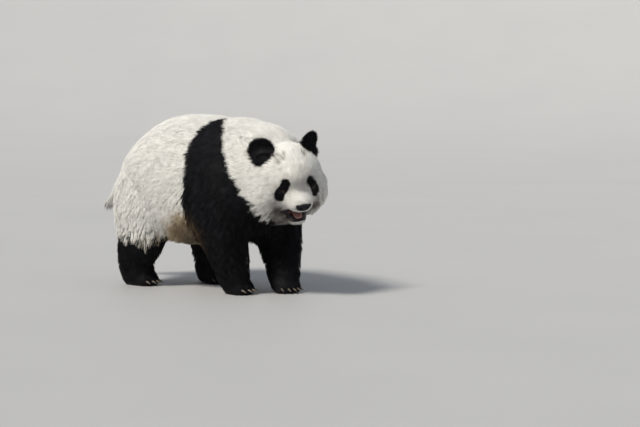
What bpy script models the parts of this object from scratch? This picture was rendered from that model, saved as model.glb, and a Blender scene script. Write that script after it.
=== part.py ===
"""A giant panda, life size, walking, with its spine bent a little and its head turned to its right.

The model is one body made of overlapping muscle masses, melted together and then parted by thin
cuts where a person would name its parts. Metres, +Z up, nose towards -Y, the animal's left at +X.
All sizes include the coat, out to the tips of the hair.
"""

import math

import bmesh
import bpy
import numpy as np
from mathutils import Matrix, Vector
from mathutils.bvhtree import BVHTree

# Driving dimensions of the animal, in metres. Its shoulders stand over the point where forward is 0.
WITHERS_HEIGHT = 0.748
BACK_HEIGHT = 0.752
BELLY_HEIGHT = 0.185
CHEST_HEIGHT = 0.225
RUMP_BEHIND_SHOULDER = 0.71
TRUNK_HALF_WIDTH = 0.265

# The head is built level and square at its own origin, the middle of the skull, then set on the neck.
HEAD_FORWARD = 0.285
HEAD_LEFT = -0.035
HEAD_UP = 0.487
HEAD_TURN = math.radians(-22)
HEAD_NOD = math.radians(25)
HEAD_ROLL = math.radians(-7)

# Places on the head are forward, left and up from the middle of the skull.
EAR_RADIUS = 0.058
EAR_PLACE = (-0.048, 0.108, 0.134)
EAR_OUTWARD = math.radians(28)
EAR_SPLAY = math.radians(20)
EYE_RADIUS = 0.0115
EYE_PLACE = (0.105, 0.066, 0.018)
EYE_SINK = 0.002
NOSE_WIDTH = 0.066
NOSE_PLACE = (0.158, 0, -0.026)
MOUTH_CORNER = (0.070, -0.084)
MOUTH_HALF_WIDTH = 0.064
UPPER_LIP_SLOPE = 0.24
LOWER_LIP_SLOPE = -0.19

# The paws: how far each has swung ahead in the walk, how far it turns in, and its size.
STRIDE = {
    ("fore", "left"): 0.115,
    ("fore", "right"): 0.005,
    ("hind", "left"): 0.145,
    ("hind", "right"): -0.035,
}
PAW_TURN = {"fore": math.radians(14), "hind": math.radians(10)}
PAW_HALF_WIDTH = {"fore": 0.068, "hind": 0.064}
PAW_LENGTH = {"fore": 0.150, "hind": 0.185}
WRIST_HEIGHT = {"fore": 0.100, "hind": 0.095}
TOES = 5
CLAW_LENGTH = 0.036
CLAW_BEND = math.radians(40)
CLAW_ROOT_AHEAD = 0.006
CLAW_ROOT_HEIGHT = 0.022

# Sections are ovals a little squarer than an ellipse, which would be 2.
SQUARENESS = 2.3

GAP = 0.0003
BODY_VOXEL = 0.012
SKIN_VOXEL = 0.007
FLESH_TRIANGLES = 2900
LEFT, RIGHT = 1, -1
SIDES = {"left": LEFT, "right": RIGHT}


def at(forward, left, up):
    """A point by how far it lies ahead of the shoulders, to the animal's left, and above the ground."""
    return Vector((left, -forward, up))


def clear_scene():
    for obj in list(bpy.data.objects):
        bpy.data.objects.remove(obj)


def add_object(name, mesh):
    obj = bpy.data.objects.new(name, mesh)
    bpy.context.scene.collection.objects.link(obj)
    return obj


def object_from_bmesh(name, bm):
    """An object of flat triangles facing out, so that a cut along it is the same from both sides."""
    bmesh.ops.recalc_face_normals(bm, faces=bm.faces)
    bmesh.ops.triangulate(bm, faces=bm.faces)
    mesh = bpy.data.meshes.new(name)
    bm.to_mesh(mesh)
    bm.free()
    return add_object(name, mesh)


def apply_modifiers(obj):
    """Replaces the object's mesh by what its modifiers make of it."""
    graph = bpy.context.evaluated_depsgraph_get()
    mesh = bpy.data.meshes.new_from_object(obj.evaluated_get(graph))
    obj.modifiers.clear()
    obj.data = mesh
    return obj


def curve_through(stations, steps):
    """Values on a smooth Catmull-Rom curve through the stations, one row for each place along it."""
    rows = np.array(stations, float)
    slopes = np.gradient(rows, axis=0)
    places = []
    for i in range(len(rows) - 1):
        for t in np.linspace(0, 1, steps, endpoint=False):
            a = (1 + 2 * t) * (1 - t) ** 2 * rows[i] + t * (1 - t) ** 2 * slopes[i]
            b = t * t * (3 - 2 * t) * rows[i + 1] + t * t * (t - 1) * slopes[i + 1]
            places.append(a + b)
    places.append(rows[-1])
    return np.array(places)


def loft(name, stations, domes=(1.0, 1.0), sides=28, steps=4, dome_steps=5, heavy_below=0.0):
    """A closed body through oval sections, with a dome on each end.

    A station is (centre, half width, half depth). The width lies along the animal's left, the depth
    across that and the path: upwards on the trunk, forwards on a leg. A dome's number is its length
    as a share of the end section's smaller half size. heavy_below moves the widest place down.
    """
    rows = curve_through([(*centre, wide, deep) for centre, wide, deep in stations], steps)
    centres = rows[:, :3]
    paths = np.gradient(centres, axis=0)
    rings = []
    for i in range(len(rows)):
        rings.append((Vector(centres[i]), Vector(paths[i]).normalized(), rows[i, 3], rows[i, 4], 0.0))
    rings = dome(rings[0], -1, domes[0], dome_steps) + rings + dome(rings[-1], 1, domes[1], dome_steps)
    bm = bmesh.new()
    loops = []
    for centre, path, wide, deep, along in rings:
        left = Vector((1, 0, 0))
        left = (left - left.dot(path) * path).normalized()
        up = path.cross(left)
        loop = []
        for k in range(sides):
            angle = 2 * math.pi * k / sides
            c, s = math.cos(angle), math.sin(angle)
            x = math.copysign(abs(c) ** (2 / SQUARENESS), c) * (1 - heavy_below * s)
            y = math.copysign(abs(s) ** (2 / SQUARENESS), s)
            loop.append(bm.verts.new(centre + path * along + left * wide * x + up * deep * y))
        loops.append(loop)
    for first, second in zip(loops, loops[1:]):
        for k in range(sides):
            bm.faces.new((first[k], first[k - 1], second[k - 1], second[k]))
    bm.faces.new(loops[0])
    bm.faces.new(reversed(loops[-1]))
    return object_from_bmesh(name, bm)


def dome(ring, way, share, steps):
    """The rings that round off an end, from the outside in for the start and outwards for the end."""
    centre, path, wide, deep, _ = ring
    length = share * min(wide, deep)
    made = []
    for k in range(1, steps + 1):
        angle = k / (steps + 0.35) * math.pi / 2
        size = math.cos(angle)
        made.append((centre, path, wide * size, deep * size, way * length * math.sin(angle)))
    return made[::-1] if way < 0 else made


def ball(name, centre, half_sizes, segments=24, rings=14):
    """An ellipsoid with its half sizes along left, forward and up."""
    bm = bmesh.new()
    bmesh.ops.create_uvsphere(bm, u_segments=segments, v_segments=rings, radius=1)
    wide, long, tall = half_sizes
    bmesh.ops.transform(bm, matrix=Matrix.Diagonal((wide, long, tall, 1)), verts=bm.verts)
    bmesh.ops.translate(bm, vec=centre, verts=bm.verts)
    return object_from_bmesh(name, bm)


def box(name, low, high, place=Matrix()):
    """A box between two points given as forward, left and up, then moved to its place."""
    bm = bmesh.new()
    bmesh.ops.create_cube(bm, size=1)
    low, high = Vector(low), Vector(high)
    size = high - low
    middle = (low + high) / 2
    bmesh.ops.transform(bm, matrix=Matrix.Diagonal((size.y, size.x, size.z, 1)), verts=bm.verts)
    bmesh.ops.translate(bm, vec=at(*middle), verts=bm.verts)
    bmesh.ops.transform(bm, matrix=place, verts=bm.verts)
    return object_from_bmesh(name, bm)


def move_mesh(obj, matrix):
    obj.data.transform(matrix)
    return obj


def remove(*objects):
    for obj in objects:
        bpy.data.objects.remove(obj)


def melt(name, masses, voxel, smoothing):
    """Overlapping closed masses as one skin, with the creases between them smoothed out."""
    bm = bmesh.new()
    for mass in masses:
        bm.from_mesh(mass.data)
    obj = object_from_bmesh(name, bm)
    remove(*masses)
    remesh = obj.modifiers.new("Melt", "REMESH")
    remesh.mode = "VOXEL"
    remesh.voxel_size = voxel
    smooth = obj.modifiers.new("Smooth", "SMOOTH")
    smooth.factor = 0.5
    smooth.iterations = smoothing
    return apply_modifiers(obj)


def boolean(obj, other, operation):
    cut = obj.modifiers.new("Cut", "BOOLEAN")
    cut.operation = operation
    cut.object = other
    return apply_modifiers(obj)


def grown(obj, by):
    """A copy of the object that stands proud of it by that much all over."""
    bm = bmesh.new()
    bm.from_mesh(obj.data)
    bm.normal_update()
    for vert in bm.verts:
        vert.co += vert.normal * by
    return object_from_bmesh(obj.name + "_grown", bm)


def part_off(whole, name, cell):
    """Cuts what lies inside the cell off the whole, as an object of its own, and leaves a thin gap."""
    piece = add_object(name, whole.data.copy())
    boolean(piece, cell, "INTERSECT")
    cutter = grown(cell, GAP)
    boolean(whole, cutter, "DIFFERENCE")
    remove(cell, cutter)
    return piece


def seat(host, guest):
    """Makes room in the host for the guest, with a thin gap all round."""
    cutter = grown(guest, GAP)
    boolean(host, cutter, "DIFFERENCE")
    remove(cutter)


# The trunk, neck and legs.


def spine_left(forward):
    """How far the bent spine lies to the left of the line through shoulders and rump."""
    share = -forward / RUMP_BEHIND_SHOULDER
    return 0.10 * share * (1 - share) - 0.025 * max(share, 0) ** 2


def trunk_station(forward, top, bottom, half_width):
    centre = at(forward, spine_left(forward), (top + bottom) / 2)
    return centre, half_width, (top - bottom) / 2


def make_trunk():
    rump = -RUMP_BEHIND_SHOULDER
    half = TRUNK_HALF_WIDTH
    return loft(
        "trunk_mass",
        [
            trunk_station(rump + 0.06, 0.500, 0.28, 0.50 * half),
            trunk_station(rump + 0.17, 0.635, 0.220, 0.84 * half),
            trunk_station(-0.37, BACK_HEIGHT - 0.010, BELLY_HEIGHT, half),
            trunk_station(-0.23, BACK_HEIGHT, BELLY_HEIGHT, half),
            trunk_station(-0.10, BACK_HEIGHT - 0.014, BELLY_HEIGHT + 0.012, 0.95 * half),
            trunk_station(0.00, WITHERS_HEIGHT, CHEST_HEIGHT, 0.88 * half),
            trunk_station(0.11, WITHERS_HEIGHT - 0.030, CHEST_HEIGHT + 0.02, 0.70 * half),
        ],
        domes=(0.45, 0.35),
        heavy_below=0.06,
    )


def make_neck():
    return loft(
        "neck_mass",
        [
            (at(-0.04, 0.0, 0.53), 0.20, 0.200),
            (at(0.10, -0.005, 0.512), 0.190, 0.214),
            (at(0.20, -0.02, 0.468), 0.176, 0.174),
        ],
    )


def make_leg(name, joints):
    return loft(name, joints, domes=(0.9, 0.8))


def foreleg_joints(side, stride):
    """Shoulder, elbow, wrist and the root of the paw, which swings forward by the stride."""
    return [
        (at(0.00, side * 0.150, 0.50), 0.092, 0.145),
        (at(0.005, side * 0.163, 0.40), 0.102, 0.145),
        (at(0.01 + 0.25 * stride, side * 0.155, 0.29), 0.098, 0.122),
        (at(0.02 + 0.75 * stride, side * 0.117, 0.15), 0.078, 0.088),
        (at(0.02 + stride, side * 0.098, 0.07), 0.068, 0.078),
    ]


def hindleg_joints(side, stride):
    """Hip, thigh, knee, hock and the root of the foot."""
    return [
        (at(-0.47, side * 0.130, 0.44), 0.110, 0.150),
        (at(-0.46 + 0.3 * stride, side * 0.152, 0.35), 0.106, 0.150),
        (at(-0.45 + 0.6 * stride, side * 0.158, 0.24), 0.097, 0.128),
        (at(-0.49 + stride, side * 0.146, 0.12), 0.078, 0.090),
        (at(-0.49 + stride, side * 0.140, 0.06), 0.070, 0.080),
    ]


def paw_matrix(kind, side_name):
    """Places a paw that is modelled level, with its heel at the origin and its toes ahead of it."""
    side = SIDES[side_name]
    stride = STRIDE[kind, side_name]
    if kind == "fore":
        heel = at(-0.035 + stride, side * 0.104, 0)
    else:
        heel = at(-0.565 + stride, side * 0.150, 0)
    return Matrix.Translation(heel) @ Matrix.Rotation(-side * PAW_TURN[kind], 4, "Z")


def toe_places(kind):
    """Each toe's tip, from the heel: forward, left, and how far it lies from the middle toe."""
    half = PAW_HALF_WIDTH[kind]
    for k in range(TOES):
        across = (k - (TOES - 1) / 2) / ((TOES - 1) / 2)
        yield PAW_LENGTH[kind] - 0.022 * across**2 - 0.02, across * (half - 0.022), across


def make_paw(kind, side_name):
    """A broad flat foot with five toes in a row."""
    half, length = PAW_HALF_WIDTH[kind], PAW_LENGTH[kind]
    sole = loft(
        "paw_mass",
        [
            (at(0.045, 0, 0.042), 0.76 * half, 0.048),
            (at(0.5 * length, 0, 0.038), 0.95 * half, 0.046),
            (at(length - 0.055, 0, 0.032), 0.96 * half, 0.038),
        ],
        domes=(1.0, 0.9),
    )
    masses = [sole]
    for forward, left, _ in toe_places(kind):
        masses.append(ball("toe", at(forward - 0.012, left, 0.024), (0.0165, 0.031, 0.029), 14, 8))
    for mass in masses:
        move_mesh(mass, paw_matrix(kind, side_name))
    return masses


# The head, built level and facing forward from the middle of the skull.


def head_matrix():
    turn = Matrix.Rotation(HEAD_TURN, 4, "Z")
    nod = Matrix.Rotation(HEAD_NOD, 4, "X")
    roll = Matrix.Rotation(HEAD_ROLL, 4, "Y")
    return Matrix.Translation(at(HEAD_FORWARD, HEAD_LEFT, HEAD_UP)) @ turn @ nod @ roll


def make_head_masses():
    """Skull, forehead, cheeks, ruff, muzzle and chin, each a simple rounded mass."""
    masses = [
        ball("skull", at(-0.020, 0, 0.020), (0.150, 0.145, 0.138)),
        ball("forehead", at(0.030, 0, 0.048), (0.115, 0.098, 0.094)),
        ball("throat", at(-0.03, 0, -0.080), (0.125, 0.125, 0.095)),
        loft(
            "muzzle",
            [
                (at(0.050, 0, -0.012), 0.074, 0.074),
                (at(0.110, 0, -0.024), 0.061, 0.052),
                (at(0.148, 0, -0.031), 0.052, 0.038),
            ],
            domes=(0.3, 0.75),
        ),
        loft(
            "chin",
            [
                (at(0.020, 0, -0.108), 0.074, 0.050),
                (at(0.080, 0, -0.112), 0.060, 0.034),
                (at(0.124, 0, -0.114), 0.044, 0.022),
            ],
            domes=(0.3, 0.9),
        ),
    ]
    for side in SIDES.values():
        masses.append(ball("cheek", at(-0.005, side * 0.098, -0.045), (0.078, 0.100, 0.105)))
        masses.append(ball("cheek_front", at(0.040, side * 0.058, -0.045), (0.064, 0.066, 0.072)))
        masses.append(ball("ruff", at(-0.015, side * 0.090, -0.092), (0.080, 0.086, 0.077)))
        masses.append(ball("brow", at(0.080, side * 0.046, 0.056), (0.046, 0.034, 0.036)))
    return masses


def ear_matrix(side):
    outward = Matrix.Rotation(side * EAR_OUTWARD, 4, "Z")
    splay = Matrix.Rotation(side * EAR_SPLAY, 4, "Y")
    forward, left, up = EAR_PLACE
    return head_matrix() @ Matrix.Translation(at(forward, side * left, up)) @ outward @ splay


def make_ear(side):
    """A round cupped ear, hollow towards the front, with the thick root on which it stands."""
    bm = bmesh.new()
    bmesh.ops.create_uvsphere(bm, u_segments=28, v_segments=16, radius=1)
    for vert in bm.verts:
        reach = math.hypot(vert.co.x, vert.co.z)
        hollow = 0.016 * max(0.0, 1 - reach**2) if vert.co.y < 0 else 0.0
        vert.co = (vert.co.x * EAR_RADIUS, vert.co.y * 0.019 + hollow, vert.co.z * EAR_RADIUS)
    ear = object_from_bmesh("ear_mass", bm)
    root = ball("ear_root", at(0.016, 0, -0.034), (0.038, 0.034, 0.034), 16, 10)
    return [move_mesh(mass, ear_matrix(side)) for mass in (ear, root)]


TAIL_ROOT = at(-RUMP_BEHIND_SHOULDER + 0.05, -0.03, 0.45)
TAIL_TIP = at(-RUMP_BEHIND_SHOULDER - 0.090, -0.055, 0.338)


def make_tail():
    middle = TAIL_ROOT.lerp(TAIL_TIP, 0.55) + at(-0.012, 0, 0.012)
    return loft("tail_mass", [(TAIL_ROOT, 0.060, 0.034), (middle, 0.060, 0.028), (TAIL_TIP, 0.036, 0.015)])


# The mouth, a little open, and the eyes' hollows.


def make_mouth_cutter():
    """A wedge that opens forwards from the corners of the mouth."""
    forward, up = MOUTH_CORNER
    reach = 0.16
    bm = bmesh.new()
    rings = []
    for left in (-MOUTH_HALF_WIDTH, MOUTH_HALF_WIDTH):
        upper = at(forward + reach, left, up + UPPER_LIP_SLOPE * reach)
        lower = at(forward + reach, left, up + LOWER_LIP_SLOPE * reach)
        rings.append([bm.verts.new(point) for point in (at(forward, left, up), upper, lower)])
    for k in range(3):
        bm.faces.new((rings[0][k], rings[0][k - 1], rings[1][k - 1], rings[1][k]))
    bm.faces.new(rings[0])
    bm.faces.new(reversed(rings[1]))
    return move_mesh(object_from_bmesh("mouth_cutter", bm), head_matrix())


def surface_point(obj, start, direction):
    """Where a line that comes from outside, against the direction, first meets the object."""
    mesh = obj.data
    tree = BVHTree.FromPolygons([v.co for v in mesh.vertices], [p.vertices for p in mesh.polygons])
    point, _, _, _ = tree.ray_cast(start + direction, -direction)
    return point


def eye_line(side):
    """A point inside the head behind the eye, and the direction in which the eye looks."""
    matrix = head_matrix()
    forward, left, up = EYE_PLACE
    start = matrix @ at(forward - 0.06, side * (left - 0.02), up)
    return start, (matrix @ at(forward, side * left, up) - start).normalized()


def make_whole():
    """The whole animal as one skin, standing on flats at the level of the ground."""
    masses = [make_trunk(), make_neck()]
    for side_name, side in SIDES.items():
        masses.append(make_leg("foreleg", foreleg_joints(side, STRIDE["fore", side_name])))
        masses.append(make_leg("hindleg", hindleg_joints(side, STRIDE["hind", side_name])))
    body = melt("body", masses, BODY_VOXEL, 14)
    head = move_mesh(melt("head", make_head_masses(), SKIN_VOXEL, 8), head_matrix())
    masses = [body, head, make_tail()]
    for side_name, side in SIDES.items():
        masses += make_ear(side)
        masses += make_paw("fore", side_name)
        masses += make_paw("hind", side_name)
    whole = melt("trunk", masses, SKIN_VOXEL, 4)
    thin = whole.modifiers.new("Thin", "DECIMATE")
    thin.ratio = FLESH_TRIANGLES / (2 * len(whole.data.polygons))
    apply_modifiers(whole)
    for cutter in (make_mouth_cutter(), box("ground", (-2, -1, -0.2), (2, 1, 0))):
        boolean(whole, cutter, "DIFFERENCE")
        remove(cutter)
    return whole


# Parting the body. Each cell is a plain closed shape that holds the part.


def paw_cell(kind, side_name):
    half = PAW_HALF_WIDTH[kind] + 0.012
    low = (-0.075, -half, -0.05)
    high = (PAW_LENGTH[kind] + 0.04, half, WRIST_HEIGHT[kind])
    return box("cell", low, high, paw_matrix(kind, side_name))


def leg_cell(kind, side_name):
    """A sleeve round the leg that leans outwards, so that its domed top comes out of the trunk's side."""
    joints = foreleg_joints if kind == "fore" else hindleg_joints
    side = SIDES[side_name]
    places = joints(side, STRIDE[kind, side_name])
    room = (1.25, 1.25, 1.25, 1.3, 1.3)
    outward = (0.042, 0.030, 0.015, 0, 0)
    stations = []
    for (place, wide, deep), more, out in zip(places, room, outward):
        stations.append((place + at(0, side * out, 0), wide * more, deep * more))
    return loft("cell", stations, domes=(0.6, 0.3), sides=10, steps=1, dome_steps=1)


def tail_cell():
    """A block round the tail whose near face is where the tail leaves the rump."""
    along = (TAIL_TIP - TAIL_ROOT).normalized()
    turn = at(1, 0, 0).rotation_difference(along).to_matrix().to_4x4()
    place = Matrix.Translation(TAIL_ROOT.lerp(TAIL_TIP, 0.28)) @ turn
    return box("cell", (0, -0.075, -0.06), (0.2, 0.075, 0.06), place)


def ear_cell(side):
    cell = ball("cell", at(0.006, 0, -0.006), (EAR_RADIUS + 0.010, 0.042, EAR_RADIUS + 0.012), 10, 6)
    return move_mesh(cell, ear_matrix(side))


def jaw_cell():
    forward, up = MOUTH_CORNER
    return box("cell", (forward - 0.035, -0.060, -0.30), (0.3, 0.060, up - 0.002), head_matrix())


def head_cell():
    return move_mesh(ball("cell", at(0.075, 0, -0.005), (0.25, 0.195, 0.235), 12, 7), head_matrix())


def neck_cell():
    """A block ahead of a slanted plane, from the withers down to the breast."""
    withers, breast = at(0.02, 0, 0.72), at(0.19, 0, 0.28)
    lean = Matrix.Rotation(-math.atan2(withers.y - breast.y, withers.z - breast.z), 4, "X")
    return box("cell", (0, -0.3, 0), (0.4, 0.3, 0.8), Matrix.Translation(breast) @ lean)


def part_body(whole):
    """Cuts the body into its named parts; what is left over is the trunk."""
    parts = {"tail": part_off(whole, "tail", tail_cell())}
    for side_name, side in SIDES.items():
        parts["ear_" + side_name] = part_off(whole, "ear_" + side_name, ear_cell(side))
    parts["lower_jaw"] = part_off(whole, "lower_jaw", jaw_cell())
    parts["head"] = part_off(whole, "head", head_cell())
    parts["neck"] = part_off(whole, "neck", neck_cell())
    for kind in ("fore", "hind"):
        for side_name in SIDES:
            paw, leg = f"{kind}paw_{side_name}", f"{kind}leg_{side_name}"
            parts[paw] = part_off(whole, paw, paw_cell(kind, side_name))
            parts[leg] = part_off(whole, leg, leg_cell(kind, side_name))
    parts["trunk"] = whole
    return parts


# Eyes, nose, tongue and claws, each seated in the flesh.


def add_eye(head, side_name):
    """An eyeball at the bottom of a shallow hollow, so that its front shows."""
    start, look = eye_line(SIDES[side_name])
    surface = surface_point(head, start, look)
    hollow = ball("hollow", surface + 0.009 * look, (0.017, 0.017, 0.017), 8, 6)
    boolean(head, hollow, "DIFFERENCE")
    remove(hollow)
    eye = ball("eye_" + side_name, surface - (EYE_RADIUS + EYE_SINK) * look, (EYE_RADIUS,) * 3, 10, 7)
    seat(head, eye)
    return eye


def add_nose(head):
    """The bare pad at the muzzle's end, wider above than below, with a nostril on each side."""
    half_width, half_height = NOSE_WIDTH / 2, 0.019
    pad = ball("nose", Vector(), (half_width, 0.022, half_height), 12, 7)
    for vert in pad.data.vertices:
        vert.co.x *= 1 + 0.25 * vert.co.z / half_height
    place = head_matrix() @ Matrix.Translation(at(*NOSE_PLACE))
    move_mesh(pad, place)
    seat(head, pad)
    for side in SIDES.values():
        nostril = ball("nostril", at(0.021, side * 0.017, -0.003), (0.007, 0.009, 0.0045), 6, 4)
        move_mesh(nostril, place)
        boolean(pad, nostril, "DIFFERENCE")
        remove(nostril)
    return pad


def add_tongue(jaw):
    """A flat tongue that lies on the lower jaw, its tip behind the lip."""
    forward, up = MOUTH_CORNER
    stations = []
    for share, wide, deep in ((0.38, 0.022, 0.004), (0.65, 0.023, 0.005), (0.90, 0.018, 0.005)):
        reach = 0.062 * share
        stations.append((at(forward + reach, 0, up + LOWER_LIP_SLOPE * reach + 0.0005), wide, deep))
    tongue = loft("tongue", stations, domes=(0.8, 1.2), sides=8, steps=1, dome_steps=2)
    move_mesh(tongue, head_matrix())
    seat(jaw, tongue)
    return tongue


def make_claw(name):
    """A claw curved downwards, its root at the origin and its tip ahead."""
    rings = 4
    sides = 5
    bm = bmesh.new()
    loops = []
    for k in range(rings):
        share = k / rings
        droop = CLAW_BEND * share
        centre = at(CLAW_LENGTH * share * math.cos(droop / 2), 0, -CLAW_LENGTH * share * math.sin(droop / 2))
        size = 1 - share**1.5
        loop = []
        for j in range(sides):
            angle = 2 * math.pi * j / sides
            across = at(0, 0.0052 * math.cos(angle), 0.0072 * math.sin(angle)) * size
            loop.append(bm.verts.new(centre + across))
        loops.append(loop)
    tip = bm.verts.new(at(CLAW_LENGTH * math.cos(CLAW_BEND / 2), 0, -CLAW_LENGTH * math.sin(CLAW_BEND / 2)))
    for first, second in zip(loops, loops[1:]):
        for j in range(sides):
            bm.faces.new((first[j], first[j - 1], second[j - 1], second[j]))
    for j in range(sides):
        bm.faces.new((loops[-1][j], loops[-1][j - 1], tip))
    bm.faces.new(loops[0])
    return object_from_bmesh(name, bm)


def add_claws(paw, kind, side_name):
    """One claw on each toe, growing out of its end just above the ground."""
    claws = []
    for number, (forward, left, across) in enumerate(toe_places(kind), start=1):
        claw = make_claw(f"claw_{kind}_{side_name}_{number}")
        fan = Matrix.Rotation(math.radians(8) * across, 4, "Z")
        root = Matrix.Translation(at(forward + CLAW_ROOT_AHEAD, left, CLAW_ROOT_HEIGHT))
        move_mesh(claw, paw_matrix(kind, side_name) @ root @ fan)
        seat(paw, claw)
        claws.append(claw)
    return claws


# Finish of each piece: colour, roughness.
FINISHES = {
    "white_coat": ((0.78, 0.76, 0.70), 0.85),
    "black_coat": ((0.012, 0.012, 0.014), 0.80),
    "eye_brown": ((0.020, 0.010, 0.006), 0.08),
    "nose_leather": ((0.015, 0.015, 0.020), 0.42),
    "tongue_pink": ((0.45, 0.16, 0.15), 0.40),
    "claw_horn": ((0.10, 0.085, 0.07), 0.35),
}
FINISH_OF = {
    "foreleg": "black_coat",
    "hindleg": "black_coat",
    "forepaw": "black_coat",
    "hindpaw": "black_coat",
    "ear": "black_coat",
    "eye": "eye_brown",
    "nose": "nose_leather",
    "tongue": "tongue_pink",
    "claw": "claw_horn",
}


def give_finishes(objects):
    materials = {}
    for name, (colour, roughness) in FINISHES.items():
        material = bpy.data.materials.new(name)
        material.use_nodes = True
        shader = material.node_tree.nodes["Principled BSDF"]
        shader.inputs["Base Color"].default_value = (*colour, 1)
        shader.inputs["Roughness"].default_value = roughness
        shader.inputs["Metallic"].default_value = 0
        materials[name] = material
    for obj in objects:
        finish = FINISH_OF.get(obj.name.split("_")[0], "white_coat")
        obj.data.materials.clear()
        obj.data.materials.append(materials[finish])
        obj.data.shade_smooth()
        obj.data.set_sharp_from_angle(angle=math.radians(40))


def centre(objects):
    """Moves all the pieces so that the origin lies on the ground under the middle of the model's box."""
    corners = np.array([obj.matrix_world @ v.co for obj in objects for v in obj.data.vertices])
    low, high = corners.min(axis=0), corners.max(axis=0)
    shift = Matrix.Translation((-(low[0] + high[0]) / 2, -(low[1] + high[1]) / 2, -low[2]))
    for obj in objects:
        obj.data.transform(shift)


def main():
    clear_scene()
    parts = part_body(make_whole())
    pieces = list(parts.values())
    for side_name in SIDES:
        pieces.append(add_eye(parts["head"], side_name))
    pieces.append(add_nose(parts["head"]))
    pieces.append(add_tongue(parts["lower_jaw"]))
    for kind in ("fore", "hind"):
        for side_name in SIDES:
            pieces += add_claws(parts[f"{kind}paw_{side_name}"], kind, side_name)
    centre(pieces)
    give_finishes(pieces)


main()
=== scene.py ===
"""A giant panda, life size, finished as a museum model: skin, coat, eyes, nose, tongue and claws.

Metres, +Z up, the nose towards -Y and the animal's left at +X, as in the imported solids.
"""

import math

import bmesh
import bpy
import numpy as np
from mathutils import Matrix, Vector
from mathutils.bvhtree import BVHTree
from mathutils.kdtree import KDTree


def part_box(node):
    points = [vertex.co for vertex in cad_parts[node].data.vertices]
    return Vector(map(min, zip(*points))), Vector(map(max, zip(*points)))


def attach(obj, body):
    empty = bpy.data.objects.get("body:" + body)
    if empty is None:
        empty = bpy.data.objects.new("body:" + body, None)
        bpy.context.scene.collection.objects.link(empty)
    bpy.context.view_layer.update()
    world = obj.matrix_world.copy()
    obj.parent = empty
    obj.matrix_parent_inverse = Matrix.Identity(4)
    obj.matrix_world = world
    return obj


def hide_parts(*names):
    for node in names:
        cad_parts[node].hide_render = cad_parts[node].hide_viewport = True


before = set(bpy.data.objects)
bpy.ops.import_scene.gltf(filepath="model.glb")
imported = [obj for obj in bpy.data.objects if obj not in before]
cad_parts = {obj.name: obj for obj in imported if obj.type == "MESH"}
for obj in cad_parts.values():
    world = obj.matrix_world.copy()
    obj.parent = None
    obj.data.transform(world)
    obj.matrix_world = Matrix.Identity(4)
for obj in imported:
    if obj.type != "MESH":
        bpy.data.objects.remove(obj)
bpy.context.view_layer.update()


# STANCE. The panda walks with its head low and turned to its right. Everything below is placed either
# from the ground under its shoulders or from the middle of its skull, both found from its eyeballs.

HEAD_TURN = math.radians(-22)
HEAD_NOD = math.radians(25)
HEAD_ROLL = math.radians(-7)
EYES_AHEAD = 0.095
EYES_UP = 0.018
SKULL_FROM_SHOULDERS = (0.285, -0.035, 0.487)
SIDES = {"left": 1, "right": -1}


def at(forward, left, up):
    """A place or direction from how far it is ahead, to the animal's left, and up."""
    return np.stack(np.broadcast_arrays(left, -np.asarray(forward), up), axis=-1).astype(float)


def listed(items, name, width, kind=float):
    """What every item in a mesh's list holds under this name, a row for each."""
    found = np.empty(len(items) * width, kind)
    items.foreach_get(name, found)
    return found.reshape(-1, width)


def corners(mesh):
    return listed(mesh.vertices, "co", 3)


turn, nod = Matrix.Rotation(HEAD_TURN, 3, "Z"), Matrix.Rotation(HEAD_NOD, 3, "X")
head_axes = np.array(turn @ nod @ Matrix.Rotation(HEAD_ROLL, 3, "Y"))
eye_middle = {side: corners(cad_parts["eye_" + side].data).mean(axis=0) for side in SIDES}
skull = (eye_middle["left"] + eye_middle["right"]) / 2 - head_axes @ at(EYES_AHEAD, 0, EYES_UP)
shoulders = skull - at(*SKULL_FROM_SHOULDERS)


def in_body(points):
    """How far ahead of the shoulders, to the left of them and above the ground each point is."""
    away = points - shoulders
    return -away[:, 1], away[:, 0], away[:, 2]


def in_head(points):
    """How far ahead, left and up each point is from the middle of the skull, as the head is held."""
    away = (points - skull) @ head_axes
    return -away[:, 1], away[:, 0], away[:, 2]


def on_head(forward, left, up):
    return skull + at(forward, left, up) @ head_axes.T


def on_side(place, side):
    """A place on the head, or its mirror image where the side is -1."""
    forward, left, up = place
    return on_head(forward, side * left, up)


def distance(points, place):
    return np.linalg.norm(points - place, axis=1)


# STUDIO. A grey painted floor that rises out of sight, one large soft lamp high on the animal's right,
# a fill as from the sky, and a long lens low in front of the animal's right shoulder.

CAMERA_AZIMUTH = math.radians(-46)
CAMERA_ELEVATION = math.radians(7)
CAMERA_DISTANCE = 8.5
CAMERA_LENS_MM = 111.4
AIM_RIGHT = 0.322
AIM_UP = 0.333
LAMP_AZIMUTH = math.radians(-92)
LAMP_ELEVATION = math.radians(50)
LAMP_STRENGTH = 3.5
LAMP_SPREAD = math.radians(14)
FLOOR_RADIUS = 11.0
BACKDROP_RADIUS = 22.0
BACKDROP_HEIGHT = 9.0
BACKDROP_RINGS = 12
FLOOR_GREYS = ((0.44, 0.44, 0.44), (0.48, 0.475, 0.47))
LAMP_COLOUR = (1.0, 0.955, 0.88)
SKY_COLOUR = (0.66, 0.74, 0.86)
SKY_STRENGTH = 0.46


def direction(azimuth, elevation):
    """Towards an azimuth, 0 ahead of the animal and turning to its left, and an elevation."""
    flat = math.cos(elevation)
    return Vector((math.sin(azimuth) * flat, -math.cos(azimuth) * flat, math.sin(elevation)))


def add_object(name, data):
    made = bpy.data.objects.new(name, data)
    bpy.context.scene.collection.objects.link(made)
    return made


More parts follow.
